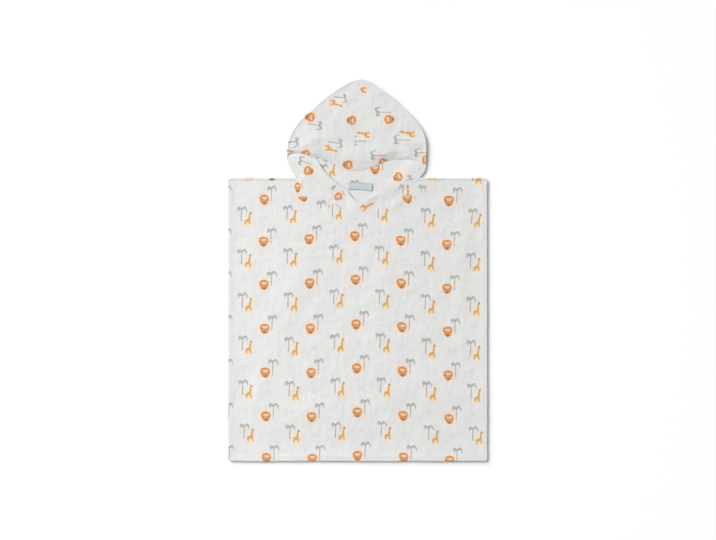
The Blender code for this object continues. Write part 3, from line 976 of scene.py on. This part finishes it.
class HoodHalf:
    """One half of the hood, laid out in sections from the centre seam round to the neck."""

    def __init__(self, crown, wing, side):
        self.tables, self.side = (crown, wing), side
        self.stations = []
        for table in self.tables:
            run = [0.0]
            for a, b in zip(table, table[1:]):
                run.append(run[-1] + math.hypot(b.edge_x - a.edge_x, b.edge_up - a.edge_up))
            self.stations.append([r / run[-1] for r in run])
        last = self.ends(2).fold
        self.to_seam = front_neck(last.x) + SEAM_GAP - last.y

    def section(self, at):
        """at is 0 at the centre seam, 1 where crown and wing part, and 2 at the neck seam."""
        at = min(2.0, max(0.0, at))
        k = 0 if at <= 1 else 1
        return Section(*curve(self.tables[k], self.stations[k], at - k))

    def outward(self, at):
        """The way out over the outline in plan. At the centre seam it runs along +y."""
        ahead, behind = self.section(at + 0.006), self.section(at - 0.006)
        along = Vector((ahead.edge_x - behind.edge_x, ahead.edge_up - behind.edge_up, 0))
        along.normalize()
        normal = Vector((along.y, -along.x, 0)) * -self.side
        return normal.lerp(Vector((0, 1, 0)), 1 - smooth(at / 0.04)).normalized()

    def ends(self, at):
        """A section's way out, its face hem, the centre line of its folded edge, its back neck,
        and the height of the fold."""
        row = self.section(at)
        out = self.outward(at)
        edge = Vector((row.edge_x * MM, SHOULDER_Y + row.edge_up * MM, 0))
        hem = Vector((row.hem_x * MM, SHOULDER_Y + row.hem_up * MM, 0))
        neck = Vector((row.neck_x * MM, back_neck(row.neck_x * MM) + SEAM_GAP, 0))
        height = row.fold * MM
        return Ends(out, hem, edge - out * (height / 2), neck, height)

    def crown_height(self, at, t, point, length, fold):
        """How high the crown lies, before the relief of its hem and the roll of its fold."""
        rest = lerp(REST_MIDDLE, REST_SIDE, smooth((abs(point.x / MM - 3) - 86) / 34))
        rest = lerp(fold, rest, smooth((1 - at) / 0.12))
        sunk = (1 - math.exp(-length * (1 - t) / 0.012)) * smooth((1 - at) / 0.2)
        plateau = fold - CROWN_SINK * sunk
        aside = STEP_RIGHT if self.side > 0 else STEP_LEFT
        step = lerp(STEP_MIDDLE, aside, smooth(abs(point.x) / 0.08))
        step = min(step, max(0.0, 0.8 * (plateau - rest)))
        stepped = smooth((length * t - 8 * MM) / (16 * MM)) if length > 30 * MM else t
        height = rest + step * stepped + (plateau - rest - step) * t
        off_seam = abs((point - SEAM_TOP).cross(SEAM_WAY).z)
        height -= SEAM_GROOVE * bell(off_seam, GROOVE_REACH)
        return height + hood_rough(point) * smooth(t / 0.08) * smooth((1 - t) / 0.03)

    def wing_height(self, at, t, point, fold):
        """The same for the wing, which comes level with the front at the neck seam."""
        within = smooth((at - 1.1) / 0.2) * smooth((1.97 - at) / 0.2)
        within *= smooth((t - 0.1) / 0.3) * smooth((1 - t) / 0.08)
        height = fold + (WING_PUFF + 0.8 * hood_rough(point)) * within
        return lerp(height, neck_level(point.x), smooth((at - 1.7) / 0.3))

    def top(self, at, t):
        """The crown or the wing at a share of the way from its hem to the fold: the place in
        plan, and the heights of its upper and lower sides there."""
        ends = self.ends(at)
        hem, fold = ends.hem, ends.fold
        if at == 2:
            hem.y = front_neck(hem.x) + SEAM_GAP
        point = hem.lerp(fold, t)
        straight = lerp(front_neck(hem.x), front_neck(fold.x), t)
        point.y += max(0.0, at - 1) ** 3 * (front_neck(point.x) - straight)
        point.y += t * self.to_seam * smooth((at - 1.7) / 0.3)
        length = (fold - hem).length
        distance = length * t
        if at <= 1:
            height, edge = self.crown_height(at, t, point, length, ends.height), CROWN_HEM
        else:
            height, edge = self.wing_height(at, t, point, ends.height), WING_HEM
        reach = smooth((2 - at) / 0.12)
        height += FOLD_ROLL * bell(length - distance, ROLL_REACH) * reach
        height += hem_relief(distance, at * 0.3) * edge.relief * reach
        # The hem is flat underneath and thins out to its edge
        thick = MUSLIN + 0.35 * hem_extra(distance) * edge.relief * reach
        low = height - thick
        least = lerp(0.92, edge.least, reach)
        high = low + thick * lerp(least, 1, smooth(distance / edge.taper))
        if at > 1:
            shrink = thick * (1 - rim((2 - at) * 0.16, thick, 0.92)) / 2
            high, low = high - shrink, low + shrink
        return point, high, low

    def row_points(self, at):
        """Every place of a section, outer and inner side, with where it lies when unfolded."""
        ends = self.ends(at)
        length = (ends.fold - ends.hem).length
        scale = min(1.0, length / (40 * MM))
        shares = [d * scale / length for d in HEM_STOPS]
        hemmed = shares[-1]
        for k in range(1, TOP_ROWS + 1):
            shares.append(lerp(hemmed, 1, 1 - (1 - k / TOP_ROWS) ** 1.4))
        places = []
        for t in shares:
            point, high, low = self.top(at, t)
            places.append((point + Vector((0, 0, high)), point + Vector((0, 0, low)), point))
        last, high, _ = self.top(at, 1)
        radius = high / 2
        middle = last + Vector((0, 0, radius))
        for k in range(1, TURN_ROWS + 1):
            turn = math.pi * k / (TURN_ROWS + 1)
            bulge = ends.out * math.sin(turn) + Vector((0, 0, math.cos(turn)))
            flat = last + ends.out * (radius * turn)
            places.append((middle + bulge * radius, middle + bulge * (radius - MUSLIN), flat))
        bend = max(0.0, at - 1) ** 3
        for k in range(BACK_ROWS):
            t = k / (BACK_ROWS - 1)
            point = last.lerp(ends.neck, t)
            straight = lerp(back_neck(last.x), back_neck(ends.neck.x), t)
            point.y += bend * (back_neck(point.x) - straight)
            rough = 0.5 * (crinkle(point.x, point.y) + 0.3 * MM)
            rough *= smooth(k / 5) * smooth((BACK_ROWS - 1 - k) / 4)
            places.append((point.copy(), point + Vector((0, 0, MUSLIN + rough)), point))
        return places


def nudged(x, up):
    """The average of the nudges round a place, the nearest counting most."""
    right = higher = total = 0.0
    for nudge in CROWN_NUDGES:
        weight = 1 / ((x - nudge.x) ** 2 + (up - nudge.up) ** 2 + 60) ** 2
        right, higher = right + weight * nudge.right, higher + weight * nudge.higher
        total += weight
    return right / total, higher / total


def lay_print(lay, x, y, crown=False):
    x, up = x / MM, (y - SHOULDER_Y) / MM
    right, higher = nudged(x, up) if crown else (0, 0)
    u, v = turned(x - right - lay.x, up - higher - lay.up, lay.turn_deg, lay.stretch)
    return u + lay.print_x, v + lay.print_y


def make_hood_half(name, half, lays):
    stops = [k / CROWN_STEPS for k in range(CROWN_STEPS + 1)]
    stops += [1 + k / WING_STEPS for k in range(1, WING_STEPS + 1)]
    grid = [half.row_points(at) for at in stops]
    fold_end = len(HEM_STOPS) + TOP_ROWS + TURN_ROWS

    def over(i, j):
        return grid[i][j][0]

    def under(i, j):
        return grid[i][j][1]

    def printed(centre, upper, cells, corners):
        crown = sum(stops[i] for i, _ in cells) / len(cells) < 1
        row = sum(j for _, j in cells) / len(cells)
        if upper and crown and patched(CROWN_BARE, centre):
            return [BARE] * len(corners)
        if upper and row < fold_end - 0.6:
            lay = lays["crown" if crown else "wing"]
            spots = [grid[i][j][2] for i, j in cells]
            return [lay_print(lay, spot.x, spot.y, crown) for spot in spots]
        if upper:
            return [(-c.x / MM, c.y / MM) for c in corners]
        patch = patched(INSIDE_PATCHES, centre)
        if patch and row > fold_end:
            return [patch_print(patch, c) for c in corners]
        return [lay_print(lays["inside"], c.x, c.y) for c in corners]

    return shell(name, len(stops), len(grid[0]), over, under, printed)


left_half = HoodHalf(LEFT_CROWN, LEFT_WING, -1)
right_half = HoodHalf(RIGHT_CROWN, RIGHT_WING, 1)
hood_left = make_hood_half("hood_half_left", left_half, LEFT_LAYS)
hood_right = make_hood_half("hood_half_right", right_half, RIGHT_LAYS)
for piece, node in ((hood_left, "hood_left"), (hood_right, "hood_right")):
    piece.data.materials.append(MUSLIN_CLOTH)
    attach(piece, "root")
    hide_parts(node)

# ---- Label -----------------------------------------------------------------------------------
# A small woven label of pale blue satin tape, sewn into the back neck seam and left blank. Its
# ends are folded under, and it has turned a few degrees from level.

LABEL_SIZE = (57 * MM, 17 * MM)
LABEL_CELLS = (40, 14)
LABEL_MIDDLE = Vector((0.007, SHOULDER_Y - 0.021, 1.5 * MM))
LABEL_TURN = math.radians(-3)
LABEL_END_FOLD = 5 * MM
LABEL_WAVE = 0.35 * MM
WOVEN_EDGE = 2.2 * MM


def label_tape():
    bath = Bath("label_tape", Sheen_Weight=0.2, Specular_IOR_Level=0.4)
    cloud = bath.mottle(120.0)
    colour = bath.layer(dye(186, 205, 209), cloud, dye(208, 220, 224))
    # The woven edge all round is a little darker
    uv = bath.node("UVMap", {"uv_map": "print"}, {})
    aside, above = [bath.maths("ABSOLUTE", bath.part(uv, axis)) for axis in (0, 1)]
    half = [side / 2 - WOVEN_EDGE for side in LABEL_SIZE]
    past = bath.maths("MAXIMUM", aside - half[0], above - half[1])
    edge = bath.clamp(past * 1000 + 0.4)
    colour = bath.layer(colour, edge * 0.75, dye(168, 190, 194))
    rib = bath.weave(9000.0, 16000.0)
    return bath.finish(colour, 0.5 + cloud * 0.2, Strength=0.4, Distance=0.0002, Height=rib)


def make_label():
    length, width = LABEL_SIZE

    def flat(i, j):
        return (i / LABEL_CELLS[0] - 0.5) * length, (j / LABEL_CELLS[1] - 0.5) * width

    def place(i, j, side):
        x, y = flat(i, j)
        from_end, from_side = length / 2 - abs(x), width / 2 - abs(y)
        sway = math.sin(i / LABEL_CELLS[0] * 7 + 1.0) * (1 - j / LABEL_CELLS[1] / 2)
        fold = 0.3 * MM * (1 - smooth((from_end - LABEL_END_FOLD) / (1 * MM)))
        edge = rim(min(from_end, from_side), 0.5 * MM)
        z = LABEL_WAVE * (1 + sway) + (0.25 * MM + fold / 2) * (1 + side * edge)
        across = x * math.cos(LABEL_TURN) - y * math.sin(LABEL_TURN)
        up = x * math.sin(LABEL_TURN) + y * math.cos(LABEL_TURN)
        return LABEL_MIDDLE + Vector((across, up, z))

    def over(i, j):
        return place(i, j, 1)

    def under(i, j):
        return place(i, j, -1)

    def printed(centre, upper, cells, corners):
        return [(x / MM, y / MM) for x, y in (flat(i, j) for i, j in cells)]

    return shell("label", LABEL_CELLS[0] + 1, LABEL_CELLS[1] + 1, over, under, printed)


label = make_label()
label.data.materials.append(label_tape())
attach(label, "root")
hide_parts("neck_label")

# ---- Stitching -------------------------------------------------------------------------------
# White sewing thread in a straight row, 10 mm in from the edge of each turned hem of the front and
# the hood, and 4 mm in round the slit.

THREAD = 0.4 * MM
THREAD_LIFT = Vector((0, 0, THREAD * 0.1))
STITCH_IN, SLIT_STITCH_IN = 10 * MM, 4 * MM
STITCH_PITCH = 3.0 * MM


def sewing_thread():
    bath = Bath("sewing_thread", Specular_IOR_Level=0.3, Sheen_Weight=0.1)
    twist = bath.mottle(1500.0, 1.0)
    colour = bath.layer(dye(216, 216, 214), twist, dye(230, 230, 228))
    return bath.finish(colour, 0.6 + twist * 0.2)


SEWING_THREAD = sewing_thread()


def stitches(name, rows):
    """Thread on the surface along each row of points: one short rounded bead to a stitch."""
    bm = bmesh.new()
    for points in rows:
        run, spare = 0.0, 0.0
        for a, b in zip(points, points[1:]):
            length = (b - a).length
            while spare <= run + length:
                at = a.lerp(b, (spare - run) / length)
                way = (b - a).normalized()
                side = Vector((0, 0, 1)).cross(way).normalized()
                turn = Matrix((way, side, way.cross(side))).transposed().to_4x4()
                size = Matrix.Diagonal((STITCH_PITCH * 0.38, THREAD / 2, THREAD / 2, 1))
                bead = Matrix.Translation(at) @ turn @ size
                bmesh.ops.create_icosphere(bm, subdivisions=1, radius=1, matrix=bead)
                spare += STITCH_PITCH
            run += length
    for face in bm.faces:
        face.smooth = True
    piece = from_bmesh(name, bm)
    piece.data.materials.append(SEWING_THREAD)
    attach(piece, "root")
    return piece


def on_front(x, y):
    return front_place(x, y, 1) + THREAD_LIFT


side_x, foot_y, head_y = HALF_WIDTH - STITCH_IN, HEM_Y + STITCH_IN, SHOULDER_Y - 2 * MM
up_the_side = evenly(foot_y, head_y, 6 * MM)
round_slit = evenly(SLIT_LEFT + SLIT_STITCH_IN, SLIT_RIGHT - SLIT_STITCH_IN, 1.5 * MM)
front_rows = [
    [on_front(-side_x, y) for y in up_the_side],
    [on_front(side_x, y) for y in up_the_side],
    [on_front(x, foot_y) for x in evenly(-side_x, side_x, 6 * MM)],
    [on_front(x, front_neck(x) - SLIT_STITCH_IN) for x in round_slit],
]
front_stitches = stitches("front_stitches", front_rows)


def on_hood(half, at):
    ends = half.ends(at)
    length = (ends.fold - ends.hem).length
    inward = STITCH_IN * min(1.0, length / (40 * MM))
    point, high, _ = half.top(at, min(0.95, inward / length))
    return point + Vector((0, 0, high)) + THREAD_LIFT


# A wing's row starts where it comes out from under the crown
hood_rows = []
for half in (left_half, right_half):
    hood_rows.append([on_hood(half, k / 90) for k in range(87)])
    hood_rows.append([on_hood(half, 1.55 + k / 90) for k in range(37)])
stitches("hood_stitches", hood_rows)

# ---- Floor, light and camera -----------------------------------------------------------------
# A white floor, a broad soft key light from the upper left, even light all round and a weak lamp
# close on the left, seen from straight above.

bm = bmesh.new()
bmesh.ops.create_grid(bm, x_segments=2, y_segments=2, size=6)
floor = from_bmesh("floor", bm)
pale = Bath("pale_floor", Specular_IOR_Level=0.1)
speck = pale.mottle(40.0)
# Painted light: the floor is painted lighter towards the right, where the lamps light it less, so
# that it shows evenly white all over.
painted_fill_rightward = pale.clamp(pale.part(pale.here, 0) / 0.8 + 0.5)
floor_tint_with_painted_fill = pale.layer((0.84, 0.84, 0.84, 1), painted_fill_rightward * 0.9 + speck * 0.1, (0.92, 0.92, 0.92, 1))
floor.data.materials.append(pale.finish(floor_tint_with_painted_fill, 0.9 + speck * 0.08))
floor.location.z = -0.2 * MM

world = bpy.data.worlds.new("studio")
bpy.context.scene.world = world
world.use_nodes = True
sky = world.node_tree.nodes["Background"]
sky.inputs["Color"].default_value = (1, 1, 1, 1)
sky.inputs["Strength"].default_value = 0.42


def hang(lamp, place, towards):
    """Puts a lamp in the scene, turned to face a point."""
    hung = put(lamp.name, lamp)
    hung.location = place
    hung.rotation_euler = (Vector(towards) - Vector(place)).to_track_quat("-Z", "Y").to_euler()


key = bpy.data.lights.new("key", "SUN")
key.energy = 4.5
key.angle = 0.75
hang(key, (-0.97, 1.03, 0.68), (0, 0, 0))

softbox = bpy.data.lights.new("softbox", "AREA")
softbox.shape = "DISK"
softbox.size = 0.8
softbox.energy = 6.6
hang(softbox, (-1.25, -0.05, 0.85), (-0.2, 0, 0))

# How much of the table the view takes in across: 716 pixels of 2.4 mm
VIEW_WIDTH = 716 * 2.4 * MM
lens = bpy.data.cameras.new("camera")
lens.lens = 85
lens.sensor_width = 36
lens.clip_start = 0.1
lens.clip_end = 20
camera = put("camera", lens)
camera.location = (1.2 * MM, -0.5 * MM, VIEW_WIDTH * lens.lens / lens.sensor_width)
bpy.context.scene.camera = camera
bpy.context.scene.view_settings.view_transform = "Standard"
